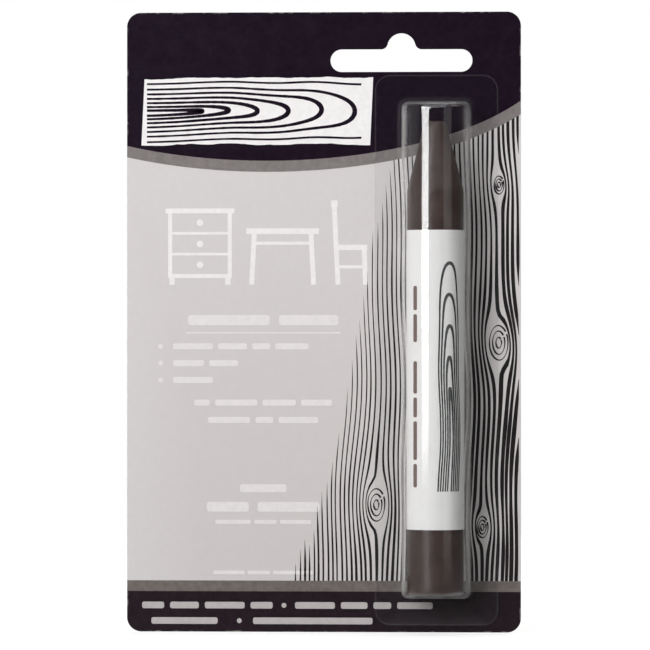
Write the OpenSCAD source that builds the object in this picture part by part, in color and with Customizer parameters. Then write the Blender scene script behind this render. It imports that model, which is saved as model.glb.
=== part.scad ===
// Carded wax repair stick: a paper-wrapped wax crayon lying loose in a clear blister
// that is sealed to the front of a hanging card.
// The origin is the centre of the hang slot's crown, on the card's back face.
// +Z runs up the card and -Y out of its front. All lengths are millimetres.

/* [Backing card] */
// Width of the card
card_w = 88.9; // [75:0.1:140]
// Thickness of the paperboard
card_t = 0.5; // [0.3:0.05:1.5]
// Radius of the card's corners
card_r = 3.2; // [1:0.1:6]

/* [Hang slot] */
// Length of the slot from end to end
slot_len = 32; // [24:0.5:40]
// Height of the slot's straight bar
slot_h = 5.1; // [4.2:0.1:8]
// Radius of the round crown over the bar
slot_crown_r = 3.2; // [2.6:0.1:5]
// From the bar's top edge up to the crown's centre
crown_rise = 0.4; // [0:0.1:1]
// Radius of the flares that lead from the bar into the crown
crown_flare_r = 1.5; // [0.5:0.1:3]
// From the card's top edge down to the crown's centre
slot_drop = 8; // [6.5:0.1:20]
// From the card's right edge to the middle of the slot
slot_from_right = 26.9; // [23:0.1:40]

/* [Wax stick] */
// Diameter of the wax
stick_d = 12.7; // [8:0.1:20]
// Length of the wax from base to tip
stick_len = 106; // [70:0.5:160]
// Length of the tapered tip
tip_len = 15.5; // [8:0.5:25]
// Diameter of the blunt end of the tip
tip_d = 4.8; // [2.5:0.1:7]
// Rounding of the blunt end's edge
tip_round = 0.8; // [0.2:0.1:1.2]
// Radius that blends the straight side into the taper
shoulder_r = 6; // [2:0.5:12]
// Rounding of the base's edge
base_round = 0.6; // [0.3:0.1:1.5]

/* [Paper label] */
// Bare wax between the base and the label
bare_below = 14.7; // [5:0.1:25]
// Bare straight wax between the label and the taper
bare_above = 8.9; // [3:0.1:20]
// Thickness of the paper
label_t = 0.12; // [0.08:0.01:0.3]
// Width of the lap where the paper overlaps itself
label_lap = 5; // [2:0.5:12]
// Where the lap starts, counted round the stick from +X
seam_angle = 40; // [0:5:355]

/* [Blister] */
// Thickness of the formed sheet
blister_t = 0.3; // [0.2:0.05:0.5]
// Draft of the dome's walls, in degrees
draft = 3; // [1:0.5:6]
// Outer radius of the dome's end edges and corners
edge_r = 1.5; // [0.8:0.1:2]
// Radius between the dome and the flange, on the outside
root_r = 0.8; // [0.4:0.1:1.6]
// Width of the sealing flange round the dome
flange_w = 6; // [3:0.5:9]
// Radius of the flange's corners
flange_r = 3.5; // [1:0.5:5]

/* [Layout] */
// Card left between the hang slot and the flange
slot_to_flange = 0.7; // [0.5:0.1:20]
// Card left below the flange
flange_to_bottom = 1.6; // [1:0.1:20]
// Card left to the right of the flange
flange_to_right = 5.1; // [1:0.1:15]

/* [Fits] */
// How far the stick can slide along its pocket
stick_travel = 3.5; // [1:0.5:10]
// Gap left at the pocket's end when the stick is against it
end_gap = 0.2; // [0.1:0.05:0.5]
// Gap between the label's lap and the dome
side_gap = 0.6; // [0.3:0.05:1.5]
// Gap between the label's lap and the card
rest_gap = 0.2; // [0.1:0.05:0.5]
// Film of glue between the wax and the label
glue_t = 0.03; // [0.01:0.01:0.1]

/* [Hidden] */
$fn = 96;

// Steps of a rounded corner, of the dome's arch and of a small fillet
corner_steps = 6;
arch_steps = 12;
fillet_steps = 5;
// Half of the flat strip that closes the arch, in degrees
arch_flat = 4;

// Radii of the stick from the wax out to the lap of the label
wax_r = stick_d / 2;
label_r = wax_r + glue_t;
wrap_r = label_r + label_t;
lap_r = wrap_r + label_t;
lap_angle = label_lap / wrap_r * 180 / PI;
label_len = stick_len - tip_len - bare_below - bare_above;
taper = atan((wax_r - tip_d / 2) / tip_len);

// The dome's arch is centred on the stick, axis_h in front of the card
axis_h = lap_r + rest_gap;
dome_r = lap_r + side_gap + blister_t;
// Half sizes that the outer walls would have at the card
stick_front_h = axis_h + wax_r;
pocket_half = (stick_len + stick_travel) / 2 + end_gap;
dome_half_w = dome_r / cos(draft) + axis_h * tan(draft);
dome_half_l = pocket_half + blister_t / cos(draft) + stick_front_h * tan(draft);

// Places, counted from the crown of the hang slot
card_right = slot_from_right;
card_top = slot_drop;
dome_x = card_right - flange_to_right - flange_w - dome_half_w;
dome_z = -crown_rise - slot_h - slot_to_flange - flange_w - dome_half_l;
card_bottom = dome_z - dome_half_l - flange_w - flange_to_bottom;
card_h = card_top - card_bottom;
stick_y = -card_t - axis_h;
stick_z = dome_z - stick_len / 2 - stick_travel / 2;

// Points of an arc round c, from angle a0 to a1
function arc(c, r, a0, a1, steps) =
  [for (i = [0:steps]) let (a = a0 + (a1 - a0) * i / steps) c + r * [cos(a), sin(a)]];

// Outline of a rounded rectangle at a height over the card, as points of the model
function ring(half_w, half_l, r, height) =
  let (
    quarters = [[1, 1], [-1, 1], [-1, -1], [1, -1]],
    corner = min(r, half_w, half_l)
  )
  [
    for (q = [0:3])
      let (c = [quarters[q][0] * (half_w - corner), quarters[q][1] * (half_l - corner)])
        for (p = arc(c, corner, 90 * q, 90 * q + 90, corner_steps))
          [dome_x + p[0], -card_t - height, dome_z + p[1]]
  ];

// Half sizes of the drafted walls at a height, for the skin that lies inset into the sheet
function wall_half_w(height, inset) = dome_half_w - inset / cos(draft) - height * tan(draft);
function wall_half_l(height, inset) = dome_half_l - inset / cos(draft) - height * tan(draft);

// Half length of the pocket at a height, with the rounding at the arch's ends
function arch_half_l(height, inset) =
  let (
    r = edge_r - inset,
    top = axis_h + dome_r - inset,
    centre_h = top - r,
    centre_l = wall_half_l(centre_h, inset) - r / cos(draft),
    over = height - centre_h
  )
  over < r * sin(draft) ? wall_half_l(height, inset) : centre_l + sqrt(r * r - over * over);

// One outline of the arch, at an angle up from the level of the stick's axis
function arch_ring(angle, inset) =
  let (
    r = dome_r - inset,
    height = axis_h + r * sin(angle)
  )
  ring(r * cos(angle), arch_half_l(height, inset), edge_r - inset, height);

// One outline of the fillet at the dome's foot, from the wall at draft to the flange at 90
function root_ring(angle, inset) =
  let (
    r = root_r + inset,
    centre_h = blister_t + root_r,
    centre_w = wall_half_w(centre_h, 0) + root_r / cos(draft),
    centre_l = wall_half_l(centre_h, 0) + root_r / cos(draft),
    out = r * (cos(draft) - cos(angle))
  )
  ring(
    centre_w - r * cos(angle),
    centre_l - r * cos(angle),
    edge_r - inset + out,
    centre_h - r * sin(angle)
  );

function arch_angle(i) = draft + (90 - arch_flat - draft) * i / arch_steps;
function root_angle(i) = draft + (90 - draft) * i / fillet_steps;
function flange_ring(height) =
  ring(dome_half_w + flange_w, dome_half_l + flange_w, flange_r, height);

// Closed skin over a stack of outlines that all have the same number of points
module skin(rings) {
  count = len(rings[0]);
  last = len(rings) - 1;
  points = [for (r = rings) for (p = r) p];
  sides = [
    for (i = [0:last - 1])
      for (j = [0:count - 1])
        let (
          a = i * count + j,
          b = i * count + (j + 1) % count
        )
          each [[a, a + count, b], [b, a + count, b + count]]
  ];
  first_cap = [for (j = [0:count - 1]) j];
  last_cap = [for (j = [count - 1:-1:0]) last * count + j];
  polyhedron(points, concat([first_cap], sides, [last_cap]));
}

// Rectangle with round corners, from its lower left corner
module round_rect(size, r) {
  translate([r, 0]) square([size[0] - 2 * r, size[1]]);
  translate([0, r]) square([size[0], size[1] - 2 * r]);
  for (x = [r, size[0] - r])
    for (y = [r, size[1] - r])
      translate([x, y]) circle(r);
}

// Opening for a display hook: a bar with round ends under a round crown that flares into it
module hang_slot() {
  end_r = slot_h / 2;
  bar_z = -crown_rise - slot_h;
  flare_z = crown_flare_r - crown_rise;
  flare_x = sqrt(pow(slot_crown_r + crown_flare_r, 2) - flare_z * flare_z);
  translate([end_r - slot_len / 2, bar_z]) square([slot_len - slot_h, slot_h]);
  for (side = [-1, 1]) {
    translate([side * (slot_len / 2 - end_r), bar_z + end_r]) circle(end_r);
    difference() {
      polygon([[0, 0], [side * flare_x, flare_z], [side * flare_x, bar_z], [0, bar_z]]);
      translate([side * flare_x, flare_z]) circle(crown_flare_r);
    }
  }
  circle(slot_crown_r);
}

module backing_card() {
  color("lightgrey")
    rotate([90, 0, 0])
      linear_extrude(card_t)
        difference() {
          translate([card_right - card_w, card_bottom]) round_rect([card_w, card_h], card_r);
          hang_slot();
        }
}

module blister() {
  color([0.85, 0.9, 0.92, 0.35])
    skin(
      concat(
        [for (i = [arch_steps:-1:0]) arch_ring(arch_angle(i), blister_t)],
        [for (i = [0:fillet_steps]) root_ring(root_angle(i), blister_t)],
        [flange_ring(0), flange_ring(blister_t)],
        [for (i = [fillet_steps:-1:0]) root_ring(root_angle(i), 0)],
        [for (i = [0:arch_steps]) arch_ring(arch_angle(i), 0)]
      )
    );
}

module wax_stick() {
  tip_c = [tip_d / 2 + tip_round * (tan(taper) - 1 / cos(taper)), stick_len - tip_round];
  shoulder_c = [wax_r - shoulder_r, stick_len - tip_len - shoulder_r * tan(taper / 2)];
  profile = concat(
    [[0, 0]],
    arc([wax_r - base_round, base_round], base_round, -90, 0, fillet_steps),
    arc(shoulder_c, shoulder_r, 0, taper, fillet_steps),
    arc(tip_c, tip_round, taper, 90, fillet_steps),
    [[0, stick_len]]
  );
  color([0.25, 0.2, 0.19])
    translate([dome_x, stick_y, stick_z])
      rotate_extrude() polygon(profile);
}

module paper_label() {
  color("whitesmoke")
    translate([dome_x, stick_y, stick_z + bare_below]) {
      rotate_extrude() translate([label_r, 0]) square([label_t, label_len]);
      rotate([0, 0, seam_angle])
        rotate_extrude(angle = lap_angle)
          translate([label_r, 0]) square([lap_r - label_r, label_len]);
    }
}

backing_card();
blister();
wax_stick();
paper_label();
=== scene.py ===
"""Looks, light and camera of the carded wax stick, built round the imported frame.

Meshes are worked out in millimetres in the frame's own axes, and piece() scales them to metres.
Materials read places in metres, as Blender gives them.
"""

import math
import random

import bmesh
import bpy
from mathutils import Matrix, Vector, noise
from mathutils.geometry import delaunay_2d_cdt


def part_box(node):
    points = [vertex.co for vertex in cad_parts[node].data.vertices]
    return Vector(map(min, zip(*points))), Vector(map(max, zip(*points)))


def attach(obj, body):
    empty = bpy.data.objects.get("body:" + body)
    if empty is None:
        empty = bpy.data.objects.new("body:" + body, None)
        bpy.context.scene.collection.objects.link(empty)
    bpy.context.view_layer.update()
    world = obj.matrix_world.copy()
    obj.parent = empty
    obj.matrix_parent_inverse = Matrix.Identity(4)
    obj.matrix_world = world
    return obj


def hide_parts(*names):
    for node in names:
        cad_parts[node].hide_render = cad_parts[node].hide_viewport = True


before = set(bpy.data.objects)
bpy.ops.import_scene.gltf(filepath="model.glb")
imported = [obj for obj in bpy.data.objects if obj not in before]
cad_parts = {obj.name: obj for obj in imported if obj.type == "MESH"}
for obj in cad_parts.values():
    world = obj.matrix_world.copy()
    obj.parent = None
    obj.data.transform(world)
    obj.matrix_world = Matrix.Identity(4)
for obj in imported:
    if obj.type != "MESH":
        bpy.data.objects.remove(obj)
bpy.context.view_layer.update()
MM = 0.001


def box_mm(node):
    """Lowest and highest corner of a node, in millimetres."""
    low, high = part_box(node)
    return low / MM, high / MM


# Sizes taken from the solids
card_low, card_high = box_mm("backing_card")
sheet_low, sheet_high = box_mm("blister")
wax_low, wax_high = box_mm("wax_stick")
label_low, label_high = box_mm("paper_label")
CARD_T = card_high.y - card_low.y
AXIS_X = (wax_low.x + wax_high.x) / 2
AXIS_Y = (wax_low.y + wax_high.y) / 2
AXIS_H = -AXIS_Y - CARD_T
WAX_R = (wax_high.x - wax_low.x) / 2
STICK_LEN = wax_high.z - wax_low.z

# Sizes repeated from the part's source
CARD_R = 3.2
SLOT_LEN = 32
SLOT_H = 5.1
CROWN_R = 3.2
CROWN_RISE = 0.4
FLARE_R = 1.5
TIP_LEN = 15.5
TIP_D = 4.8
TIP_ROUND = 0.8
SHOULDER_R = 6
BASE_ROUND = 0.6
GLUE_T = 0.03
PAPER_T = 0.12
LAP_W = 5
LAP_AT = math.radians(40)
SHEET_T = 0.3
DRAFT = math.radians(3)
EDGE_R = 1.5
ROOT_R = 0.8
FLANGE_W = 6
FLANGE_R = 3.5

# Thickness of one film of ink
INK_T = 0.008


# Number helpers


def clamp(value, low=0, high=1):
    return min(max(value, low), high)


def spaced(start, end, steps):
    """Evenly spaced values from start to end, with both ends."""
    return [start + (end - start) * i / steps for i in range(steps + 1)]


def mixed(p, q, share):
    """The point that lies a share of the way from p to q."""
    return tuple(a + (b - a) * share for a, b in zip(p, q))


def uneven(x, y, z):
    """Smooth random value of about -1 to 1 at a point."""
    return noise.noise(Vector((x, y, z)))


# Materials

# Range that nearly all of the noise texture falls in
NOISE_LOW = 0.3
NOISE_HIGH = 0.7


def srgb(r, g, b):
    """Linear colour of an 8-bit screen colour."""
    return tuple(
        c / 12.92 if c <= 0.04045 else ((c + 0.055) / 1.055) ** 2.4
        for c in (r / 255, g / 255, b / 255)
    ) + (1.0,)


def shifted(colour, steps):
    """Linear colour of an 8-bit one made lighter or darker by some of its steps."""
    return srgb(*(clamp(c + steps, 0, 255) for c in colour))


class Nodes:
    """A node tree whose calls return output sockets."""

    def __init__(self, owner):
        owner.use_nodes = True
        self.owner = owner
        self.tree = owner.node_tree
        self.tree.nodes.clear()

    def add(self, kind, inputs=None, out=0, **props):
        """A node, with a value or a link on each of the inputs named."""
        node = self.tree.nodes.new(kind)
        for name, value in props.items():
            setattr(node, name, value)
        for key, value in (inputs or {}).items():
            if isinstance(value, bpy.types.NodeSocket):
                self.tree.links.new(value, node.inputs[key])
            else:
                node.inputs[key].default_value = value
        return node.outputs[out]

    def place(self):
        return self.add("ShaderNodeTexCoord", out="Object")

    def stretch(self, vector, scale):
        return self.add("ShaderNodeMapping", {"Vector": vector, "Scale": scale})

    def axis(self, vector, name):
        return self.add("ShaderNodeSeparateXYZ", {0: vector}, name)

    def length(self, vector):
        return self.add("ShaderNodeVectorMath", {0: vector}, "Value", operation="LENGTH")

    def math(self, operation, a, b=0.0):
        return self.add("ShaderNodeMath", {0: a, 1: b}, operation=operation)

    def times(self, a, b):
        return self.math("MULTIPLY", a, b)

    def away(self, vector, name, middle):
        """How far a point is from a middle along one axis."""
        return self.math("ABSOLUTE", self.math("SUBTRACT", self.axis(vector, name), middle))

    def span(self, value, low, high, to_low, to_high):
        """Maps low to high onto to_low to to_high, and holds the ends."""
        inputs = {0: value, 1: low, 2: high, 3: to_low, 4: to_high}
        return self.add("ShaderNodeMapRange", inputs)

    def span_mm(self, value, low, high, to_low, to_high):
        """The same for a value in metres, with low and high in millimetres."""
        return self.span(value, low * MM, high * MM, to_low, to_high)

    def window(self, value, rise, fall):
        """1 inside a stretch and 0 outside it, with the slopes at its ends in millimetres."""
        return self.times(self.span_mm(value, *rise, 0, 1), self.span_mm(value, *fall, 1, 0))

    def noise(self, vector, scale, detail=3.0, roughness=0.5):
        inputs = {"Vector": vector, "Scale": scale, "Detail": detail, "Roughness": roughness}
        return self.add("ShaderNodeTexNoise", inputs, "Fac")

    def spread(self, texture, low, high):
        """Noise stretched to run from low to high."""
        return self.span(texture, NOISE_LOW, NOISE_HIGH, low, high)

    def mottle(self, vector, scale, low, high, detail=3.0, roughness=0.5):
        """Noise of a scale that runs from low to high."""
        return self.spread(self.noise(vector, scale, detail, roughness), low, high)

    def mix(self, factor, a, b):
        return self.add("ShaderNodeMix", {0: factor, 6: a, 7: b}, 2, data_type="RGBA")

    def bump(self, height, distance, strength=1.0, normal=None):
        inputs = {"Strength": strength, "Distance": distance, "Height": height}
        if normal is not None:
            inputs["Normal"] = normal
        return self.add("ShaderNodeBump", inputs)

    def mix_shader(self, factor, a, b):
        return self.add("ShaderNodeMixShader", {0: factor, 1: a, 2: b})

    def surface(self, colour, roughness, level, normal, more=None):
        """Ends the tree in a principled shader with this specular level."""
        inputs = {
            "Base Color": colour,
            "Roughness": roughness,
            "Specular IOR Level": level,
            "Normal": normal,
        }
        inputs.update(more or {})
        return self.end(self.add("ShaderNodeBsdfPrincipled", inputs))

    def end(self, shader):
        kind = "World" if isinstance(self.owner, bpy.types.World) else "Material"
        out = self.tree.nodes.new(f"ShaderNodeOutput{kind}")
        self.tree.links.new(shader, out.inputs["Surface"])
        return self.owner


def material(name):
    return Nodes(bpy.data.materials.new(name))


def coated_tooth(g, at):
    """Normal of coated board, which is almost smooth."""
    return g.bump(g.noise(at, 5200, 2), 4e-6, 0.5)


def near_edge(g, at, reach):
    """1 at the card's outer edge and 0 from reach millimetres inside it."""
    middle = (card_low + card_high) / 2 * MM
    half = (card_high - card_low) / 2 * MM
    from_side = g.math("SUBTRACT", half.x, g.away(at, "X", middle.x))
    from_end = g.math("SUBTRACT", half.z, g.away(at, "Z", middle.z))
    return g.span_mm(g.math("MINIMUM", from_side, from_end), 0, reach, 1, 0)


def ink(name, colour, spread=8, level=0.15, worn=0.0):
    """Offset ink on coated board: slight mottling, a fine tooth, satin gloss, and rubbed card edges."""
    g = material(name)
    at = g.place()
    tint = g.mix(g.mottle(at, 900, 0, 1, 4, 0.6), shifted(colour, -spread), shifted(colour, spread))
    if worn:
        bare = srgb(205, 200, 194)
        rub = g.span(g.noise(at, 420, 5, 0.7), 0.52, 0.66, 0, worn)
        tint = g.mix(g.times(rub, near_edge(g, at, 0.35)), tint, bare)
    return g.surface(tint, g.mottle(at, 260, 0.28, 0.38), level, coated_tooth(g, at))


def panel_ink():
    """The pale grey tint of the card's middle, a little lighter at the top and the left."""
    g = material("panel_ink")
    at = g.place()
    plain = srgb(206, 201, 200)
    lighter = srgb(212, 207, 207)
    dots = srgb(60, 58, 60)
    up = g.span_mm(g.axis(at, "Z"), -85, -30, 0, 1)
    left = g.span_mm(g.axis(at, "X"), -45, -62, 0, 1)
    tint = g.mix(g.math("MAXIMUM", up, left), plain, lighter)
    colour = g.mix(g.mottle(at, 700, 0, 1, 4, 0.6), g.mix(0.03, tint, dots), tint)
    return g.surface(colour, g.mottle(at, 260, 0.4, 0.52), 0.25, coated_tooth(g, at))


def inside_sheet(g, at, margin, r):
    """How many metres a point lies inside a rounded rectangle, margin in from the blister's outline."""
    middle = (sheet_low + sheet_high) / 2 * MM
    half = (sheet_high - sheet_low) / 2 * MM
    past_x = g.math("SUBTRACT", g.away(at, "X", middle.x), half.x - (margin + r) * MM)
    past_z = g.math("SUBTRACT", g.away(at, "Z", middle.z), half.z - (margin + r) * MM)
    corner_x = g.math("MAXIMUM", past_x, 0)
    corner_z = g.math("MAXIMUM", past_z, 0)
    outside = g.length(g.add("ShaderNodeCombineXYZ", {0: corner_x, 1: corner_z}))
    inside = g.math("MINIMUM", g.math("MAXIMUM", past_x, past_z), 0)
    return g.math("SUBTRACT", r * MM, g.math("ADD", outside, inside))


def board(name, colour, fleck, pressed=False):
    """Bare paperboard with fibres and a few flecks, and the sealing tool's track on its back."""
    g = material(name)
    at = g.place()
    fibres = g.noise(g.stretch(at, (1, 3, 2.2)), 2600, 5, 0.65)
    tone = g.mix(g.spread(fibres, 0, 1), shifted(colour, -12), srgb(*colour))
    flecks = g.span(g.noise(at, 1500, 2, 0.4), 0.7, 0.76, 0, 0.55)
    tone = g.mix(flecks, tone, srgb(*fleck))
    normal = g.bump(fibres, 1.2e-5, 0.6)
    if pressed:
        pressed_grey = srgb(150, 144, 136)
        scuffed_grey = srgb(176, 172, 166)
        track = g.window(inside_sheet(g, at, 0, FLANGE_R), (0.2, 0.8), (5.2, 5.8))
        tone = g.mix(g.times(track, 0.1), tone, pressed_grey)
        scuffs = g.noise(g.stretch(at, (0.35, 1, 1.4)), 140, 5, 0.7)
        tone = g.mix(g.span(scuffs, 0.56, 0.72, 0, 0.16), tone, scuffed_grey)
        normal = g.bump(track, -3e-5, 0.8, normal)
    return g.surface(tone, g.spread(fibres, 0.7, 0.86), 0.3, normal)


def sheet_mirror(g, at, depth, facing):
    """Share of light that is mirrored: more at a slant, little at the foot, none where it is sealed."""
    mirror = g.math("ADD", g.times(g.math("POWER", facing, 5.0), 0.6), 0.05)
    free = g.span_mm(g.axis(at, "Y"), -CARD_T - 0.12, -CARD_T - 0.04, 1, 0)
    foot = g.window(depth, (-1.1, -0.7), (0, 0.6))
    return g.times(g.times(mirror, free), g.span(foot, 0, 1, 1, 0.2))


def sheet_cloud(g, at, depth, facing):
    """How milky the sheet is: on walls seen at a slant, less so at the top, and at the cut edge."""
    wall = g.window(depth, (-0.3, 0.3), (1.1, 1.9))
    cloud = g.times(wall, g.mottle(at, 300, 0.11, 0.18))
    cloud = g.times(cloud, g.span(facing, 0.3, 0.7, 0.1, 1))
    dome_top = sheet_high.z - FLANGE_W
    cloud = g.times(cloud, g.span_mm(g.axis(at, "Z"), dome_top - 2.5, dome_top - 1, 1, 0.2))
    cut = g.span_mm(inside_sheet(g, at, 0, FLANGE_R), 0.1, 0.4, 0.015, 0)
    return g.math("MAXIMUM", cloud, cut)


def clear_sheet():
    """Clear formed plastic, hazier and a little cloudy where it was drawn down."""
    g = material("clear_sheet")
    at = g.place()
    depth = inside_sheet(g, at, FLANGE_W, EDGE_R)
    facing = g.add("ShaderNodeLayerWeight", {"Blend": 0.5}, "Facing")
    drawn = g.window(depth, (-1.2, -0.8), (0.8, 1.8))
    haze = g.span(g.noise(at, 420), 0.35, 0.75, 0.055, 0.09)
    haze = g.math("ADD", haze, g.times(drawn, 0.3))
    ripple = g.bump(g.noise(g.stretch(at, (1, 1, 0.25)), 160, 2), 6e-6, 0.5)
    clear = g.add("ShaderNodeBsdfTransparent", {"Color": (0.996, 0.998, 0.998, 1)})
    gloss = g.add("ShaderNodeBsdfGlossy", {"Roughness": haze, "Normal": ripple})
    milk = g.add("ShaderNodeBsdfDiffuse", {"Color": (0.9, 0.9, 0.88, 1)})
    sheet = g.mix_shader(sheet_mirror(g, at, depth, facing), clear, gloss)
    return g.end(g.mix_shader(sheet_cloud(g, at, depth, facing), sheet, milk))


def wax():
    """Dark brown wax: cloudy colour, faint lengthwise drag marks, a dull bloom and fine pits."""
    g = material("brown_wax")
    at = g.place()
    dark = srgb(49, 34, 31)
    light = srgb(65, 48, 44)
    dragged = srgb(82, 63, 59)
    bloomed = srgb(114, 98, 95)
    cloud = g.mottle(at, 330, 0, 1, 4, 0.6)
    colour = g.mix(cloud, dark, light)
    drag = g.noise(g.stretch(at, (1, 1, 0.06)), 1500)
    colour = g.mix(g.span(drag, 0.55, 0.75, 0, 0.3), colour, dragged)
    bloom = g.span(g.noise(at, 120), 0.52, 0.75, 0, 0.22)
    colour = g.mix(bloom, colour, bloomed)
    pits = g.bump(g.noise(at, 2400), 2e-5, 0.5)
    glow = {
        "Subsurface Weight": 0.06,
        "Subsurface Radius": (0.9, 0.5, 0.4),
        "Subsurface Scale": 0.001,
    }
    rough = g.span(cloud, 0, 1, 0.34, 0.46)
    return g.surface(colour, rough, 0.5, g.bump(drag, 1.5e-5, 0.4, pits), glow)


def label_paper():
    """Thin white paper pulled tight, with a fine fibre and a little grey from the wax below."""
    g = material("label_paper")
    at = g.place()
    shade = srgb(238, 237, 236)
    white = srgb(247, 245, 244)
    stained = srgb(204, 199, 196)
    fibre = g.noise(g.stretch(at, (2, 2, 1)), 2800, 5, 0.65)
    tone = g.mix(g.spread(fibre, 0, 1), shade, white)
    stain = g.span(g.noise(at, 210), 0.5, 0.8, 0, 0.14)
    crease = g.noise(g.stretch(at, (1, 1, 0.12)), 260, 2)
    normal = g.bump(crease, 3e-5, 0.35, g.bump(fibre, 8e-6, 0.5))
    return g.surface(g.mix(stain, tone, stained), g.spread(fibre, 0.62, 0.78), 0.3, normal)


# Meshes


def piece(name, verts, faces, materials, body, sharp=None, slots=None):
    """A mesh from points in millimetres, riding on a body."""
    mesh = bpy.data.meshes.new(name)
    mesh.from_pydata([Vector(v) * MM for v in verts], [], faces)
    for paint in materials:
        mesh.materials.append(paint)
    if slots:
        mesh.polygons.foreach_set("material_index", slots)
    work = bmesh.new()
    work.from_mesh(mesh)
    bmesh.ops.remove_doubles(work, verts=work.verts, dist=1e-7)
    bmesh.ops.dissolve_degenerate(work, edges=work.edges, dist=1e-7)
    bmesh.ops.recalc_face_normals(work, faces=work.faces)
    work.to_mesh(mesh)
    work.free()
    if sharp is not None:
        mesh.polygons.foreach_set("use_smooth", [True] * len(mesh.polygons))
        mesh.set_sharp_from_angle(angle=math.radians(sharp))
    obj = bpy.data.objects.new(name, mesh)
    bpy.context.scene.collection.objects.link(obj)
    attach(obj, body)
    return obj


def arc(cx, cy, r, start, end, steps):
    """Points round a centre, angles in degrees."""
    angles = [math.radians(a) for a in spaced(start, end, steps)]
    return [(cx + r * math.cos(a), cy + r * math.sin(a)) for a in angles]


def disc(x, z, r, points):
    """Outline of a full circle."""
    return arc(x, z, r, 0, 360 - 360 / points, points - 1)


def rounded(x0, z0, x1, z1, r, steps):
    """Outline of a rectangle with round corners."""
    return (
        arc(x1 - r, z1 - r, r, 0, 90, steps)
        + arc(x0 + r, z1 - r, r, 90, 180, steps)
        + arc(x0 + r, z0 + r, r, 180, 270, steps)
        + arc(x1 - r, z0 + r, r, 270, 360, steps)
    )


def bar(x0, z0, x1, z1):
    """Outline of a rectangle."""
    return [(x0, z0), (x1, z0), (x1, z1), (x0, z1)]


def beam(p, q, width):
    """Outline of a straight stroke from p to q."""
    p = Vector(p)
    q = Vector(q)
    along = (q - p).normalized()
    side = Vector((-along.y, along.x)) * width / 2
    return [tuple(v) for v in (p - side, q - side, q + side, p + side)]


def within(loop, x, z):
    """Whether a point is inside a closed outline."""
    inside = False
    for (x0, z0), (x1, z1) in zip(loop, loop[1:] + loop[:1]):
        if (z0 > z) != (z1 > z) and x < x0 + (z - z0) / (z1 - z0) * (x1 - x0):
            inside = not inside
    return inside


def triangles(loops, holes=(), keep=None):
    """Triangles that fill the union of the outlines, less the holes and what keep() turns down."""
    points = []
    edges = []
    for loop in [*loops, *holes]:
        first = len(points)
        count = len(loop)
        points += [Vector(p) for p in loop]
        edges += [(first + i, first + (i + 1) % count) for i in range(count)]
    flat, _, faces, *_ = delaunay_2d_cdt(points, edges, [], 0, 1e-5)

    def inside(x, z):
        if any(within(hole, x, z) for hole in holes):
            return False
        if keep and not keep(x, z):
            return False
        return any(within(loop, x, z) for loop in loops)

    kept = []
    for face in faces:
        middle = sum((flat[i] for i in face), Vector((0, 0))) / len(face)
        if inside(*middle):
            kept.append(face)
    used = sorted({i for face in kept for i in face})
    new = {old: i for i, old in enumerate(used)}
    return [tuple(flat[i]) for i in used], [tuple(new[i] for i in face) for face in kept]


def slab(flat, faces, low, high, place):
    """Closed solid between two levels over a flat set of triangles."""
    count = len(flat)
    verts = [place(u, v, high) for u, v in flat] + [place(u, v, low) for u, v in flat]
    directed = {(f[i], f[(i + 1) % len(f)]) for f in faces for i in range(len(f))}
    rim = sorted((a, b) for a, b in directed if (b, a) not in directed)
    top = [tuple(f) for f in faces]
    bottom = [tuple(i + count for i in reversed(f)) for f in faces]
    sides = [(b, a, a + count, b + count) for a, b in rim]
    return verts, top + bottom + sides


def loft(rings, capped=True):
    """Skin over a stack of rings that have the same number of points."""
    count = len(rings[0])
    verts = [point for ring in rings for point in ring]
    faces = []
    for i in range(len(rings) - 1):
        for j in range(count):
            a = i * count + j
            b = i * count + (j + 1) % count
            faces.append((a, b, b + count, a + count))
    if capped:
        faces.append(tuple(reversed(range(count))))
        faces.append(tuple(range(len(verts) - count, len(verts))))
    return verts, faces


def on_card(u, v, h):
    """A point of the print: u across, v up and h out of the card's front."""
    return (u, -CARD_T - h, v)


def film(name, loops, paint, level=0, films=1, holes=(), keep=None):
    """A printed area of the card, some films of ink thick."""
    flat, faces = triangles(loops, holes, keep)
    verts, solid = slab(flat, faces, level * INK_T, (level + films) * INK_T, on_card)
    piece(name, verts, solid, [paint], "pack")


def ribbon(stroke, low, high, place, parts):
    """A closed stroke along (u, v, width) points, split into parts across."""
    shares = [1 - 2 * k / parts for k in range(parts + 1)]
    section = [(share, high) for share in shares]
    section += [(share, low) for share in reversed(shares)]
    last = len(stroke) - 1
    rings = []
    for i, (u, v, width) in enumerate(stroke):
        before = stroke[max(i - 1, 0)]
        after = stroke[min(i + 1, last)]
        along = Vector((after[0] - before[0], after[1] - before[1])).normalized()
        side = Vector((-along.y, along.x)) * width / 2
        rings.append([place(u + share * side.x, v + share * side.y, h) for share, h in section])
    return loft(rings)


def strokes(name, lines, paint, level=0, place=on_card, body="pack", parts=1):
    """Inked strokes as one piece, each one film thick."""
    verts = []
    faces = []
    for line in lines:
        points, quads = ribbon(line, level * INK_T, (level + 1) * INK_T, place, parts)
        faces += [tuple(i + len(verts) for i in quad) for quad in quads]
        verts += points
    piece(name, verts, faces, [paint], body)


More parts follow.
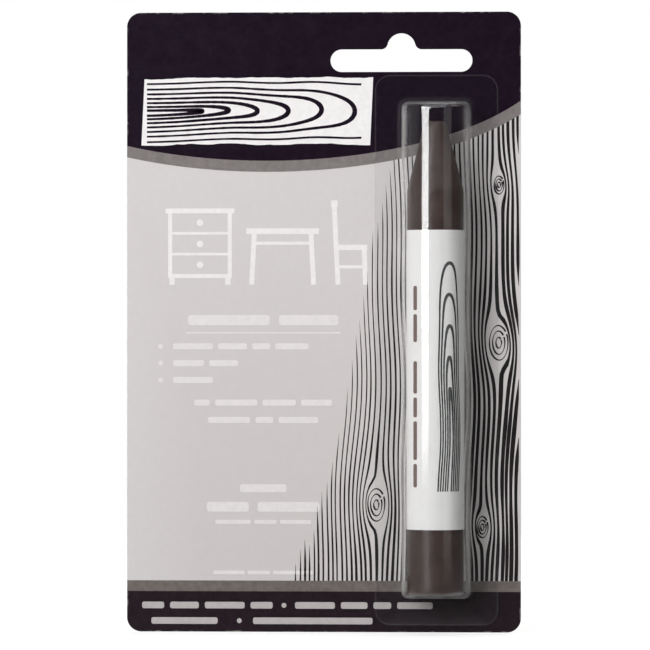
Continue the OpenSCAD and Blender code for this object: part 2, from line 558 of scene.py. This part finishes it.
def arched_grain(tips, tail, stop, middle, blunt, thick):
    """Nested arches of a flat-sawn board, as strokes of (along, across, width) points.

    Each of the tips is (along, half width). The arches open towards tail round a line that
    middle() gives, and what lies past stop is cut off.
    """
    half_steps = 48
    lines = []
    for tip, half in tips:
        line = []
        for i in range(-half_steps, half_steps + 1):
            back = (i / half_steps) ** 2 * (tip - tail)
            along = tip - back
            across = middle(along) + math.copysign(half * math.sqrt(back / (back + blunt)), i)
            swell = 0.1 * uneven(along / 3, i, half)
            width = thick * (0.4 + 0.7 / (1 + 2 * back / blunt) + swell)
            if along < stop:
                line.append((along, across, width))
            elif line:
                lines.append(line)
                line = []
        lines.append(line)
    return lines


# Card


def hang_slot_outline():
    """A bar with round ends under a round crown that flares into it."""
    end_r = SLOT_H / 2
    end_x = SLOT_LEN / 2 - end_r
    bar_z = -CROWN_RISE - end_r
    flare_z = FLARE_R - CROWN_RISE
    flare_x = math.sqrt((CROWN_R + FLARE_R) ** 2 - flare_z**2)
    lean = math.degrees(math.atan2(flare_z, flare_x))
    return (
        arc(0, 0, CROWN_R, 180 - lean, lean, 24)
        + arc(flare_x, flare_z, FLARE_R, 180 + lean, 270, 8)[1:]
        + arc(end_x, bar_z, end_r, 90, -90, 16)
        + arc(-end_x, bar_z, end_r, 270, 90, 16)
        + arc(-flare_x, flare_z, FLARE_R, 270, 360 - lean, 8)[:-1]
    )


OUTLINE = rounded(card_low.x, card_low.z, card_high.x, card_high.z, CARD_R, 12)
HANG_SLOT = hang_slot_outline()


def make_card():
    """The die-cut board: a printed front, and bare board at its edges and back."""
    flat, faces = triangles([OUTLINE], [HANG_SLOT])
    verts, solid = slab(flat, faces, -CARD_T, 0, on_card)
    paints = [
        panel_ink(),
        board("board_edge", (226, 221, 212), (150, 140, 128)),
        board("board_back", (222, 219, 213), (160, 156, 150), pressed=True),
    ]
    flat_count = len(faces)
    edge_count = len(solid) - 2 * flat_count
    slots = [0] * flat_count + [2] * flat_count + [1] * edge_count
    card = piece("card", verts, solid, paints, "pack", slots=slots)
    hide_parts("backing_card")


make_card()

# Inks of the card
black = ink("black_ink", (25, 14, 28), 4, level=0.08, worn=0.6)
grey = ink("grey_ink", (126, 120, 119), worn=0.5)
dark_grey = ink("dark_grey_ink", (110, 103, 100), worn=0.5)
white = ink("white_ink", (240, 237, 237), 5)
pale = ink("pale_ink", (236, 232, 232), 5)
faint = ink("faint_ink", (227, 222, 222), 4)
foot_black = ink("foot_black_ink", (35, 26, 32), 4, level=0.08, worn=0.6)
foot_grey = ink("foot_grey_ink", (184, 179, 178), 5)
engraved = ink("engraving_ink", (32, 28, 30), 5)

# The header ends in a stretch of an ellipse with a grey band under it
ARC_X = -30.05
ARC_LOW = -25.46
ARC_WIDE = 66.2
ARC_HIGH = 27.4
BAND = 2.5
FOOT_TOP = -122.55
FOOT_BAND = 2.42
# How far areas run past the card before they are cut off at its edge
BLEED = 1
LEFT = card_low.x - BLEED
RIGHT = card_high.x + BLEED


def under_arc(x, drop):
    """Height at x of the line that runs drop below the header's lower edge."""
    u = (x - ARC_X) / ARC_WIDE
    rest = math.sqrt(1 - u * u)
    slope = ARC_HIGH / ARC_WIDE * u / rest
    return ARC_LOW + ARC_HIGH * (1 - rest) - drop * math.hypot(1, slope)


def arc_edge(drop):
    """The line that runs drop below the header's lower edge, from left to right."""
    return [(x, under_arc(x, drop)) for x in spaced(LEFT, RIGHT, 48)]


def clipped(name, area, paint):
    """A printed area cut off at the card's edge, two films of ink thick."""

    def on_both(x, z):
        return within(area, x, z) and within(OUTLINE, x, z)

    film(name, [area, OUTLINE], paint, films=2, holes=[HANG_SLOT], keep=on_both)


head_top = card_high.z + BLEED
foot_low = card_low.z - BLEED
clipped("print_header", arc_edge(0) + [(RIGHT, head_top), (LEFT, head_top)], black)
clipped("print_header_band", arc_edge(BAND) + arc_edge(0)[::-1], grey)
clipped("print_footer", bar(LEFT, foot_low, RIGHT, FOOT_TOP), foot_black)
clipped("print_footer_band", bar(LEFT, FOOT_TOP, RIGHT, FOOT_TOP + FOOT_BAND), dark_grey)

# A plain board with uneven edges and arched grain, cut like a woodcut, fills the header
PLANK_LEFT = -58.4
PLANK_RIGHT = -6.7
PLANK_Z = -14.3
PLANK_HALF = 7.5
PLANK_LEAN = 0.35
# Each arch of the grain: where its tip is, and half of its width
PLANK_TIPS = [
    (16, 6.9),
    (-10.5, 5.75),
    (-18, 4.65),
    (-25.5, 3.6),
    (-32.5, 2.6),
    (-39, 1.65),
    (-45, 0.75),
]


def meander(x):
    """How far the board and its grain wander up or down at x."""
    return 0.55 * uneven(x / 13, 2.6, 0.8)


def plank_middle(x):
    return PLANK_Z + meander(x)


def sawn_edge(side):
    """The board's upper (1) or lower (-1) edge from left to right."""
    points = []
    for x in spaced(PLANK_LEFT, PLANK_RIGHT, 64):
        chips = 0.35 * uneven(x / 5, side * 3.7, 0) + 0.14 * uneven(x / 1.6, side, 9)
        z = PLANK_Z + side * PLANK_HALF + 0.5 * meander(x) + chips
        points.append((x + side * PLANK_LEAN, z))
    return points


film("print_plank", [sawn_edge(-1) + sawn_edge(1)[::-1]], white, 2)
plank_tail = PLANK_LEFT + 0.9
plank_stop = PLANK_RIGHT - 0.7
plank_grain = arched_grain(PLANK_TIPS, plank_tail, plank_stop, plank_middle, blunt=8, thick=1)
strokes("print_plank_grain", plank_grain, black, 3)

# Furniture signs where the panel has its title, all standing on one line
SIGN_FLOOR = -53.4
SIGN_LEG = 1.1


def chest_sign():
    """A chest of three drawers."""
    middle = -45.5
    left = middle - 7.2
    right = middle + 7.2
    top = -37.3
    base = SIGN_FLOOR + 1.5
    side = 0.9
    foot = 1.2
    inset = 0.3
    loops = [
        bar(left - 0.6, top, right + 0.6, top + 1.1),
        bar(left, base, left + side, top),
        bar(right - side, base, right, top),
        bar(left, base, right, base + side),
        bar(left + inset, SIGN_FLOOR, left + inset + foot, base),
        bar(right - inset - foot, SIGN_FLOOR, right - inset, base),
    ]
    for shelf in (-42.1, -46.8):
        loops.append(bar(left + side, shelf, right - side, shelf + 0.6))
    for knob in (-39.4, -44.2, -48.9):
        loops.append(disc(middle, knob, 0.75, 24))
    return loops


def table_sign():
    """A table from the front."""
    middle = -26.8
    top = -42.0
    loops = [
        bar(middle - 8.2, top, middle + 8.2, top + 1.3),
        bar(middle - 6.6, top - 2.4, middle + 6.6, top - 1.7),
    ]
    for side in (-1, 1):
        hip = (middle + side * 6.4, top + 0.1)
        foot = (middle + side * 7.0, SIGN_FLOOR)
        loops.append(beam(hip, foot, SIGN_LEG))
    return loops


def chair_sign():
    """A chair from the side."""
    back = beam((-14.3, SIGN_FLOOR), (-15.2, -34.6), SIGN_LEG)
    top_rail = bar(-15.9, -35.8, -14.4, -34.4)
    seat = bar(-14.9, -45.6, -7.7, -44.4)
    front_leg = beam((-8.4, -45.0), (-8.1, SIGN_FLOOR), SIGN_LEG)
    low_rail = beam((-14.4, -49.4), (-8.2, -49.4), 0.7)
    return [back, top_rail, seat, front_leg, low_rail]


film("print_signs", chest_sign() + table_sign() + chair_sign(), pale)

# Rows of word-long bars: a height, the words' lengths and how tall they are
PANEL_X = -31.2
CENTRED_ROWS = [
    (-61.4, [18.5, 13.5], 2.3),
    (-80.0, [3.5, 9.5, 7.5, 7], 1.35),
    (-83.9, [9.5, 4, 9], 1.35),
    (-99.3, [10.5], 1.8),
    (-103.5, [9.5, 14], 2.2),
    (-106.9, [8, 5, 7], 0.9),
    (-118.3, [7, 5, 9], 0.8),
]
RULE = bar(PANEL_X - 17.5, -64.4, PANEL_X + 17.5, -64.1)
DOTTED_X = -51.6
DOTTED_ROWS = [
    (-67.3, [9, 6.5, 4, 7.5], 1.35),
    (-71.1, [7, 6.5], 1.35),
    (-74.9, [9], 1.35),
]
FOOT_HIGH_Z = -125.7
FOOT_LOW_Z = -129.2
FOOT_H = 1.5


def dot(x, z):
    return disc(x, z, 0.55, 18)


def words(x, z, lengths, height, centred=False):
    """Word-long bars in a row, from x or centred on it."""
    gap = height * 0.9
    if centred:
        x -= (sum(lengths) + gap * (len(lengths) - 1)) / 2
    loops = []
    for length in lengths:
        loops.append(rounded(x, z - height / 2, x + length, z + height / 2, height * 0.3, 4))
        x += length + gap
    return loops


def panel_lines():
    """The panel's rows: centred ones, a rule under the first and three that start with a dot."""
    loops = [RULE]
    for z, lengths, height in CENTRED_ROWS:
        loops += words(PANEL_X, z, lengths, height, centred=True)
    for z, lengths, height in DOTTED_ROWS:
        loops.append(dot(DOTTED_X - 2.8, z))
        loops += words(DOTTED_X, z, lengths, height)
    return loops


def foot_lines():
    """The footer's two rows, each parted by a dot."""
    return [
        *words(-58.6, FOOT_HIGH_Z, [5, 6.5, 9, 5], FOOT_H),
        dot(-26.5, FOOT_HIGH_Z),
        *words(-24, FOOT_HIGH_Z, [9, 6, 4, 8], FOOT_H),
        *words(-56.5, FOOT_LOW_Z, [15], FOOT_H),
        dot(-36.6, FOOT_LOW_Z),
        *words(-33.5, FOOT_LOW_Z, [27], FOOT_H),
    ]


film("print_lines", panel_lines(), faint)
film("print_foot_lines", foot_lines(), foot_grey, 2)

# Engraved wood grain runs up the right of the panel and round its knots
GRAIN_LINES = 50
GRAIN_FIRST = -25.2
GRAIN_TOP = -8
GRAIN_STEP = 1.1
PITCH = 1.06
# How far lines reach in under the two bands, and stay off the card's edge
UNDER_BAND = 1.5
UNDER_FOOT_BAND = FOOT_BAND - 0.6
EDGE_GAP = 0.45
# Fewest points that make a line, how many points its ends thin over, and to what share
FEWEST = 6
TAPER = 5
THIN = 0.12
# Places and radii of the knots, and how much longer than wide the flow round them is
KNOTS = [(21.4, -66.5, 2.5), (-5.2, -103.0, 2.3), (22.3, -31.0, 1.3), (18.6, -108.0, 1.5)]
KNOT_LONG = 2.3
KNOT_RINGS = (0.25, 0.55, 0.83)
# The grain's left limit, as heights and places across
GRAIN_LEFT = [(-121, -25), (-104, -19), (-86, -13.5), (-70, -11), (-50, -8), (-24, -2), (-8, 2)]


def left_of_grain(z):
    for (z0, x0), (z1, x1) in zip(GRAIN_LEFT, GRAIN_LEFT[1:]):
        if z <= z1:
            return x0 + (x1 - x0) * max(z - z0, 0) / (z1 - z0)
    return GRAIN_LEFT[-1][1]


def sway(z):
    """How far all the grain leans to one side at a height."""
    return 0.55 * math.sin(z / 15.0) + 0.3 * math.sin(z / 6.3 + 1.2)


def grain_x(c, z, x):
    """Where grain line c is at height z, found from a guess x, and how crowded the lines are there.

    The lines flow past the knots like water past stones.
    """

    def off(x):
        total = x - c
        for knot_x, knot_z, r in KNOTS:
            distance = (x - knot_x) ** 2 + ((z - knot_z) / KNOT_LONG) ** 2
            total -= r * r * (x - knot_x) / max(distance, 0.3)
        return total

    for _ in range(30):
        slope = (off(x + 0.01) - off(x - 0.01)) / 0.02
        x -= clamp(off(x) / max(slope, 0.35), -0.25, 0.25)
    return x, slope


def inked_share(c, x, z, crowd):
    """Share of the pitch that line c's ink covers: more to the right, at the foot and at mid height."""
    left = left_of_grain(z)
    depth = (x - left) / (card_high.x - left)
    low = clamp((-80 - z) / 35)
    middle = max(1 - ((z + 72) / 30) ** 2, 0)
    cover = 0.25 + 0.42 * depth + 0.2 * low + 0.24 * middle * depth
    cover *= 0.86 + 0.28 * uneven(c / 2.3, z / 9, 0.4)
    return clamp(cover, 0.14, 0.84) / clamp(crowd, 0.75, 3)


def grain_runs(c, weight, rag):
    """The inked stretches of line c from the footer up, as lists of (x, z, width) points."""
    runs = []
    run = []
    flow_x = c
    z = FOOT_TOP + FOOT_BAND - UNDER_FOOT_BAND
    while z < GRAIN_TOP:
        flow_x, crowd = grain_x(c, z, flow_x)
        x = flow_x + sway(z)
        on_panel = z < under_arc(x, BAND) + UNDER_BAND
        if on_panel and left_of_grain(z + rag) < x < card_high.x - EDGE_GAP:
            run.append((x, z, PITCH * weight * inked_share(c, x, z, crowd)))
        elif run:
            runs.append(run)
            run = []
        z += GRAIN_STEP
    runs.append(run)
    return [run for run in runs if len(run) >= FEWEST]


def tapered(run):
    """Thins the ends of a stretch, except an end that the footer's or the header's band covers."""
    last = len(run) - 1
    top_x, top_z, _ = run[last]
    low = 1 if run[0][1] < FOOT_TOP + 1 else THIN
    high = 1 if top_z > under_arc(top_x, BAND) else THIN
    return [
        (x, z, width * min(1, low + i / TAPER, high + (last - i) / TAPER))
        for i, (x, z, width) in enumerate(run)
    ]


def knot_ring(x, z, r, share):
    """One open ring inside a knot."""
    points = []
    for i in range(36):
        turn = math.radians(10 * i + 40)
        reach = r * share * (1 + 0.06 * uneven(x + math.cos(turn), z + math.sin(turn), share))
        across = x + sway(z) + reach * math.cos(turn)
        up = z + reach * 1.9 * math.sin(turn)
        points.append((across, up, 0.3 + 0.12 * math.sin(2 * turn)))
    return points


def engraved_grain():
    """All the grain's strokes."""
    dice = random.Random(7)
    lines = []
    for i in range(GRAIN_LINES):
        c = GRAIN_FIRST + PITCH * i + dice.uniform(-0.12, 0.12)
        weight = dice.uniform(0.8, 1.15)
        rag = dice.uniform(-2.5, 2.5)
        lines += [tapered(run) for run in grain_runs(c, weight, rag)]
    for x, z, r in KNOTS:
        lines += [knot_ring(x, z, r, share) for share in KNOT_RINGS]
    return lines


strokes("print_grain", engraved_grain(), engraved)

# Blister

DOME_X = (sheet_high.x + sheet_low.x) / 2
DOME_Z = (sheet_high.z + sheet_low.z) / 2
DOME_HALF_W = (sheet_high.x - sheet_low.x) / 2 - FLANGE_W
DOME_HALF_L = (sheet_high.z - sheet_low.z) / 2 - FLANGE_W
# A little less than the solid's, so that the finer arch stays inside its box
DOME_R = (DOME_HALF_W - AXIS_H * math.tan(DRAFT)) * math.cos(DRAFT) - 0.02
# The flange's underside is this far off the card, clear of the ink under it
SEAL_T = 0.03
LONG_STEPS = 36
SHORT_STEPS = 4
CORNER_STEPS = 8
ARCH_ANGLES = spaced(DRAFT, math.radians(89.2), 44)
ROOT_ANGLES = spaced(DRAFT, math.pi / 2, 8)


def sheet_ring(half_w, half_l, r, h):
    """One outline of the formed sheet: (x, z, height) points, with steps along its sides."""
    r = min(r, half_w, half_l)
    corners = []
    for side_x, side_z, start in ((1, 1, 0), (-1, 1, 90), (-1, -1, 180), (1, -1, 270)):
        x = DOME_X + side_x * (half_w - r)
        z = DOME_Z + side_z * (half_l - r)
        corners.append(arc(x, z, r, start, start + 90, CORNER_STEPS))
    loop = []
    for k, corner in enumerate(corners):
        onward = corners[(k + 1) % 4][0]
        steps = LONG_STEPS if k % 2 else SHORT_STEPS
        loop += corner + [mixed(corner[-1], onward, i / steps) for i in range(1, steps)]
    return [(x, z, h) for x, z in loop]


def wall_w(h, inset):
    """Half the dome's width at a height, for the skin that lies inset into the sheet."""
    return DOME_HALF_W - inset / math.cos(DRAFT) - h * math.tan(DRAFT)


def wall_l(h, inset):
    """Half the dome's length at a height, for the skin that lies inset into the sheet."""
    return DOME_HALF_L - inset / math.cos(DRAFT) - h * math.tan(DRAFT)


def arch_ring(angle, inset):
    """One outline of the arch, at an angle up from the level of the stick's axis."""
    r = DOME_R - inset
    edge = EDGE_R - inset
    h = AXIS_H + r * math.sin(angle)
    edge_h = AXIS_H + r - edge
    over = h - edge_h
    half_l = wall_l(h, inset)
    if over > edge * math.sin(DRAFT):
        round_off = math.sqrt(max(edge * edge - over * over, 0))
        half_l = wall_l(edge_h, inset) - edge / math.cos(DRAFT) + round_off
    return sheet_ring(r * math.cos(angle), half_l, edge, h)


def root_ring(angle, inset):
    """One outline of the fillet at the dome's foot, from the wall at draft to the flange at 90."""
    r = ROOT_R + inset
    h = SHEET_T + ROOT_R
    away = ROOT_R / math.cos(DRAFT) - r * math.cos(angle)
    corner_r = EDGE_R - inset + r * (math.cos(DRAFT) - math.cos(angle))
    return sheet_ring(wall_w(h, 0) + away, wall_l(h, 0) + away, corner_r, h - r * math.sin(angle))


def flange_ring(h):
    return sheet_ring(DOME_HALF_W + FLANGE_W, DOME_HALF_L + FLANGE_W, FLANGE_R, h)


def skin_rings(inset):
    """One face of the sheet, from the crown down to the flange."""
    arch = [arch_ring(angle, inset) for angle in reversed(ARCH_ANGLES)]
    root = [root_ring(angle, inset) for angle in ROOT_ANGLES]
    walls = []
    for share in (0.25, 0.5, 0.75):
        walls.append([mixed(p, q, share) for p, q in zip(arch[-1], root[0])])
    return arch + walls + root


def formed(x, z, h):
    """The sheet's small unevenness: a drawn wall is never quite true."""
    from_foot = clamp((h - 1.5) / 5)
    from_end = clamp((DOME_HALF_L - abs(z - DOME_Z)) / 6)
    wave = 0.045 * uneven(x / 9, z / 23, h / 9) + 0.012 * uneven(x / 4, z / 8, h / 5)
    out = Vector((x - AXIS_X, h - AXIS_H)).normalized() * (wave - 0.03) * from_foot * from_end
    return (x + out.x, -CARD_T - max(h, SEAL_T) - out.y, z)


def make_blister():
    """The formed sheet, as one skin from its inside over the flange's edge to its outside."""
    inner = skin_rings(SHEET_T)
    outer = skin_rings(0)[::-1]
    rings = inner + [flange_ring(0), flange_ring(SHEET_T)] + outer
    verts, faces = loft([[formed(*point) for point in ring] for ring in rings])
    blister = piece("formed_blister", verts, faces, [clear_sheet()], "pack", sharp=50)
    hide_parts("blister")


make_blister()

# Stick

TURNS = 128
DISH = 0.12
# Length of the tip that is rubbed, and how deep
RUBBED_LEN = 9
RUBBED = 0.16
# Where the parting line is, in radians, half its width and how far it stands out
SEAM_AT = 0.5
SEAM_HALF = 0.35
SEAM_H = 0.03


def round_stick(r, a, z):
    """The point at radius r and angle a round the stick's axis."""
    return (AXIS_X + r * math.cos(a), AXIS_Y + r * math.sin(a), z)


def wax_profile():
    """Half the wax's outline, from its base to its tip, as (radius, height) points."""
    taper = math.atan((WAX_R - TIP_D / 2) / TIP_LEN)
    lean = math.degrees(taper)
    shoulder = STICK_LEN - TIP_LEN - SHOULDER_R * math.tan(taper / 2)
    tip_x = TIP_D / 2 + TIP_ROUND * (math.tan(taper) - 1 / math.cos(taper))
    base = [(0, DISH), (2.2, DISH), (3.4, 0.02), (4.6, 0.0)]
    base += arc(WAX_R - BASE_ROUND, BASE_ROUND, BASE_ROUND, -90, 0, 6)
    side = [(WAX_R, z) for z in spaced(BASE_ROUND, shoulder, 60)[1:-1]]
    blend = arc(WAX_R - SHOULDER_R, shoulder, SHOULDER_R, 0, lean, 6)
    edge = arc(tip_x, STICK_LEN - TIP_ROUND, TIP_ROUND, lean, 90, 6)
    cone = [mixed(blend[-1], edge[0], i / 16) for i in range(1, 16)]
    tip = [(tip_x * 0.5, STICK_LEN - 0.02), (0, STICK_LEN - 0.05)]
    return base + side + blend + cone + edge + tip


def cast(r, z, a):
    """Radius of the wax as it left its mould: shallow dents, a faint parting line and a rubbed tip."""
    x = math.cos(a)
    y = math.sin(a)
    at = Vector((x * 1.4, y * 1.4, z / 9))
    dent = 0.05 * max(noise.noise(at) + 0.1, 0) + 0.025 * max(noise.noise(at * 3.7), 0)
    near_tip = clamp((z - STICK_LEN + RUBBED_LEN) / RUBBED_LEN)
    dent += near_tip * RUBBED * max(uneven(x * 1.1, y * 1.1, z / 3 + 7), 0)
    off_seam = min(abs(math.remainder(a - SEAM_AT, math.pi)) * r / SEAM_HALF, 1)
    return max(r - dent - SEAM_H * off_seam, 0)


def make_wax():
    """The moulded crayon, turned from its profile."""
    profile = wax_profile()
    angles = [2 * math.pi * j / TURNS for j in range(TURNS)]
    rings = []
    for r, z in profile[1:-1]:
        rings.append([round_stick(cast(r, z, a), a, wax_low.z + z) for a in angles])
    verts, faces = loft(rings, capped=False)
    for row, (_, z) in ((0, profile[0]), (len(rings) - 1, profile[-1])):
        centre = len(verts)
        verts.append((AXIS_X, AXIS_Y, wax_low.z + z))
        for j in range(TURNS):
            faces.append((row * TURNS + j, row * TURNS + (j + 1) % TURNS, centre))
    stick = piece("wax_crayon", verts, faces, [wax()], "stick", sharp=60)
    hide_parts("wax_stick")


make_wax()

# The wrap is one strip of paper: it starts under the lap and ends on top of it
PAPER_R = WAX_R + GLUE_T
FULL_TURN = 2 * math.pi
LAP_TURN = LAP_W / (PAPER_R + PAPER_T)
WRAP_TURN = FULL_TURN + LAP_TURN
# Angle, in radians, in which the strip climbs over its start, and the gap between the layers
CLIMB_TURN = 0.09
LAYER_GAP = 0.004
# Thickness that is drawn: a little less than the paper's, to make room for that gap
DRAWN_T = PAPER_T - 0.006
# Angle, in radians, in which the free end curls up, and how far
CURL_TURN = 0.12
CURL = 0.003
ROUND_STEPS = 168
UP_STEPS = 40


def paper_r(turn):
    """Inner radius of the strip at an angle from its start, which it climbs over."""
    climb = clamp((turn - FULL_TURN + CLIMB_TURN) / CLIMB_TURN)
    return PAPER_R + (PAPER_T + LAYER_GAP) * climb * climb * (3 - 2 * climb)


def paper_swell(turn, row, z):
    """How far the paper stands off the wax: here and there, but not at its ends or its lap."""
    if turn > FULL_TURN - 0.1 or turn < LAP_TURN:
        return 0
    a = LAP_AT + turn
    swell = 0.02 * max(uneven(math.cos(a) * 1.2, math.sin(a) * 1.2, z / 11), 0)
    return swell * min(1, row / 3, (UP_STEPS - row) / 3)


def wrap_points():
    """Pairs of points, on the inside and the outside of the strip, up each row and round the stick."""
    points = []
    for turn in spaced(0, WRAP_TURN, ROUND_STEPS):
        curl = CURL * max((turn - WRAP_TURN + CURL_TURN) / CURL_TURN, 0)
        for row, z in enumerate(spaced(label_low.z, label_high.z, UP_STEPS)):
            r = paper_r(turn) + paper_swell(turn, row, z)
            points.append(round_stick(r, LAP_AT + turn, z))
            points.append(round_stick(r + DRAWN_T + curl, LAP_AT + turn, z))
    return points


def wrap_faces():
    """Both sides of the strip and its four edges."""

    def at(i, row, side):
        return 2 * (i * (UP_STEPS + 1) + row) + side

    faces = []
    for i in range(ROUND_STEPS):
        for row in range(UP_STEPS):
            for side in (0, 1):
                low = (at(i, row, side), at(i + 1, row, side))
                high = (at(i + 1, row + 1, side), at(i, row + 1, side))
                faces.append(low + high)
        for row in (0, UP_STEPS):
            faces.append((at(i, row, 0), at(i + 1, row, 0), at(i + 1, row, 1), at(i, row, 1)))
    for i in (0, ROUND_STEPS):
        for row in range(UP_STEPS):
            faces.append((at(i, row, 0), at(i, row + 1, 0), at(i, row + 1, 1), at(i, row, 1)))
    return faces


def make_wrap():
    """The paper strip round the wax."""
    paper = label_paper()
    wrap = piece("label_wrap", wrap_points(), wrap_faces(), [paper], "stick", sharp=40)
    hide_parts("paper_label")


make_wrap()

# Plain marks on the wrap: arched grain up its front and a row of word-long bars beside it

# Radius of the print's underside, just clear of the paper's swells
WRAP_R = PAPER_R + PAPER_T + 0.016
# Places of the grain and the bars round the wrap, and sizes of the bars
GRAIN_U = 3.7
BARS_U = -4.75
BAR_W = 1.1
BAR_GAP = 0.9
GROUP_GAP = 3.4
BAR_GROUPS = [(5.4, 6.2), (7.2, 4.4, 8.6, 5.2)]
# Distances from a bar's end, and the share of its width that it has there
BAR_END = [(0, 0.55), (0.12, 0.85), (0.3, 1)]


def on_wrap(u, v, h):
    """A point of the wrap's print: u round from its front to the right, v up, h out."""
    a = u / WRAP_R
    return (AXIS_X + (WRAP_R + h) * math.sin(a), AXIS_Y - (WRAP_R + h) * math.cos(a), v)


def drift(v):
    """Where the middle of the wrap's grain is at a height."""
    return GRAIN_U + 0.5 * uneven(v / 12, 5.5, 0.2)


def label_grain():
    """Five arches that open downwards."""
    tail = label_low.z + 8.6
    tips = [(label_high.z - 7.4 - 7 * k, 2.8 - 0.57 * k) for k in range(5)]
    lines = arched_grain(tips, tail, label_high.z, drift, blunt=5, thick=0.72)
    return [[(across, along, width) for along, across, width in line] for line in lines]


def bar_stroke(top, length):
    """One bar with rounded ends, running down from top."""
    middle = [(length * k / 6, 1) for k in range(1, 6)]
    far_end = [(length - down, share) for down, share in reversed(BAR_END)]
    return [(BARS_U, top - down, BAR_W * share) for down, share in BAR_END + middle + far_end]


def label_bars():
    """Groups of bars down the wrap."""
    lines = []
    top = label_high.z - 12.5
    for group in BAR_GROUPS:
        for length in group:
            lines.append(bar_stroke(top, length))
            top -= length + BAR_GAP
        top -= GROUP_GAP
    return lines


grain_ink = ink("label_dark_ink", (66, 70, 68), 6)
bar_ink = ink("label_brown_ink", (122, 102, 97), 6)
strokes("label_grain", label_grain(), grain_ink, 0, on_wrap, "stick", parts=2)
strokes("label_bars", label_bars(), bar_ink, 0, on_wrap, "stick", parts=4)

# Floor, light and camera, in metres

scene = bpy.context.scene
# The point that the lamps and the camera are aimed at
CENTRE = Vector((-0.01726, 0, -0.0625))
FLOOR_Z = card_low.z * MM - 0.0002
FLOOR_R = 0.7
CAMERA_FAR = 1.2
CAMERA_YAW = math.radians(3.33)
# Width of the view at the card, and of the sensor in millimetres
VIEW_W = 0.14655
SENSOR_W = 36


def floor_look():
    """Pale to the camera, darker to the light that it throws back, and clear towards its rim.

    The sheet mirrors the pale floor only close under the card.
    """
    g = material("floor")
    at = g.place()
    far = g.length(at)
    under = g.times(g.span(far, 0.07, 0.13, 0.75, 0), g.span(g.axis(at, "Y"), -0.045, -0.02, 0, 1))
    mirrored = g.times(g.add("ShaderNodeLightPath", out="Is Glossy Ray"), under)
    shown = g.math("MAXIMUM", g.add("ShaderNodeLightPath", out="Is Camera Ray"), mirrored)
    pale_grey = g.mix(g.noise(at, 300), (0.42, 0.42, 0.42, 1), (0.45, 0.45, 0.45, 1))
    lit = g.add("ShaderNodeBsdfDiffuse", {"Color": pale_grey})
    glow = g.add("ShaderNodeEmission", {"Strength": 0.6})
    bright = g.add("ShaderNodeAddShader", {0: lit, 1: glow})
    dark = g.add("ShaderNodeBsdfDiffuse", {"Color": (0.12, 0.12, 0.12, 1)})
    clear = g.add("ShaderNodeBsdfTransparent")
    fade = g.span(far, 0.22, 0.62, 0, 1)
    return g.end(g.mix_shader(fade, g.mix_shader(shown, dark, bright), clear))


def make_floor():
    """A round plain floor just under the card."""
    mesh = bpy.data.meshes.new("floor")
    work = bmesh.new()
    bmesh.ops.create_circle(work, cap_ends=True, segments=96, radius=FLOOR_R)
    work.to_mesh(mesh)
    work.free()
    mesh.materials.append(floor_look())
    obj = bpy.data.objects.new("floor", mesh)
    obj.location = (CENTRE.x, 0, FLOOR_Z)
    scene.collection.objects.link(obj)


def make_world():
    """White to the camera; for the light, a dim room with a paler ceiling, left wall and backdrop."""
    world = bpy.data.worlds.new("studio")
    g = Nodes(world)
    way = g.add("ShaderNodeTexCoord", out="Generated")
    x = g.axis(way, "X")
    y = g.axis(way, "Y")
    z = g.axis(way, "Z")
    ceiling = g.span(z, 0.4, 0.95, 0.05, 0.3)
    left_wall = g.span(x, -0.72, -1, 0.05, 0.4)
    backdrop = g.span(y, -0.05, 0.2, 0.05, 0.95)
    backdrop = g.times(backdrop, g.span(x, 0.6, 0.1, 0.1, 1))
    backdrop = g.times(backdrop, g.span(z, 0.05, 0.5, 1, 0.2))
    strength = g.math("MAXIMUM", g.math("MAXIMUM", ceiling, left_wall), backdrop)
    room = g.add("ShaderNodeBackground", {"Color": (1, 1, 1, 1), "Strength": strength})
    plain_white = g.add("ShaderNodeBackground", {"Color": (1, 1, 1, 1), "Strength": 1.0})
    shown = g.add("ShaderNodeLightPath", out="Is Camera Ray")
    scene.world = g.end(g.mix_shader(shown, room, plain_white))


def aim(obj, way, distance):
    """Puts a lamp or a camera at a distance from the centre, looking at it."""
    obj.location = CENTRE + way * distance
    obj.rotation_euler = (-way).to_track_quat("-Z", "Y").to_euler()
    scene.collection.objects.link(obj)


def softbox(name, azimuth, elevation, distance, size, watts):
    """A soft lamp. Azimuth 0 is in front of the card, and positive to the right."""
    a = math.radians(azimuth)
    e = math.radians(elevation)
    data = bpy.data.lights.new(name, "AREA")
    data.shape = "RECTANGLE"
    data.size, data.size_y = size
    data.energy = watts
    obj = bpy.data.objects.new(name, data)
    obj.visible_camera = False
    aim(obj, Vector((math.sin(a) * math.cos(e), -math.cos(a) * math.cos(e), math.sin(e))), distance)


def make_camera():
    """A long lens in front of the card, a little to the right."""
    data = bpy.data.cameras.new("camera")
    data.sensor_width = SENSOR_W
    data.lens = SENSOR_W * CAMERA_FAR / VIEW_W
    camera = bpy.data.objects.new("camera", data)
    aim(camera, Vector((math.sin(CAMERA_YAW), -math.cos(CAMERA_YAW), 0)), CAMERA_FAR)
    scene.camera = camera


make_floor()
make_world()
softbox("key", -32.5, 15, 1.06, (0.45, 0.6), 8.2)
softbox("key_low", -32.5, -1.9, 1.03, (0.45, 0.045), 0.22)
softbox("side", 46, 2, 1.0, (0.52, 0.9), 0.6)
softbox("front_high", 4, 58, 1.0, (1.3, 1.3), 7.4)
softbox("right_high", 85, 45, 1.0, (0.5, 0.5), 1.1)
softbox("behind", 160, 26, 1.0, (0.7, 0.7), 7.0)
make_camera()
scene.view_settings.view_transform = "Standard"
